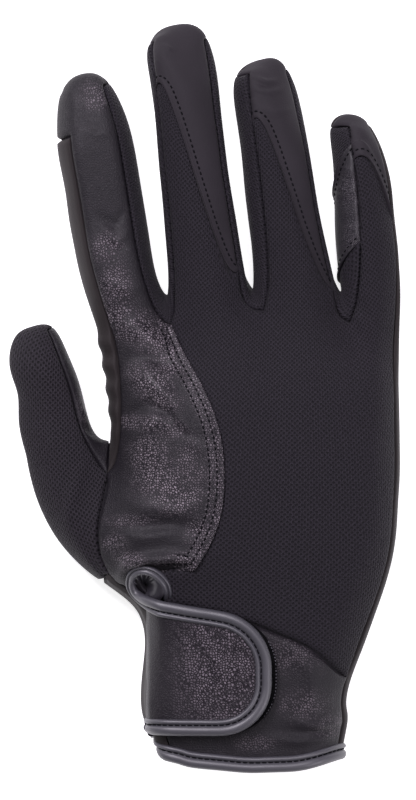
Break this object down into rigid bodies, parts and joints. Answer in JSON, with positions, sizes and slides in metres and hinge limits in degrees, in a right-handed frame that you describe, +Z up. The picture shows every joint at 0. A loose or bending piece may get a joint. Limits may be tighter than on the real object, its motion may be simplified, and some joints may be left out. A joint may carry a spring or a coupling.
{
  "type": "horse riding glove",
  "caption": "Right-hand riding glove lying palm down: knit back, leather side and cuff panels, suede-like fingertips, bound hem and a fold-over wrist closure tab.",
  "frame": {"origin": "on the palm's flat underside, in the middle of the hand, where the glove rests on the surface", "axes": "+Z up out of the back of the hand, +Y towards the fingertips, +X towards the little finger"},
  "size_m": [0.1183, 0.2265, 0.0298],
  "materials": {
    "grain_leather": "satin, fine pebbled grain",
    "suede_leather": "matt, brushed",
    "knit_fabric": "matt open knit",
    "binding_leather": "smooth, soft sheen",
    "grip_tape": "matt hook and loop pile"
  },
  "bodies": {
    "root": {"palm": "suede_leather", "thumb_front": "suede_leather", "middle_cap": "suede_leather", "ring_cap": "suede_leather", "little_cap": "suede_leather", "thumb_back": "knit_fabric", "back_of_hand": "knit_fabric", "index_middle_fourchette": "knit_fabric", "middle_ring_fourchette": "knit_fabric", "ring_little_fourchette": "knit_fabric", "thumb_gusset": "grain_leather", "index_back": "grain_leather", "cuff_back": "grain_leather", "rein_patch": "grain_leather", "closure_tab": "grain_leather", "hem_binding": "binding_leather", "vent_binding": "binding_leather", "tab_binding": "binding_leather", "loop_patch": "grip_tape", "hook_patch": "grip_tape"}
  },
  "joints": []
}
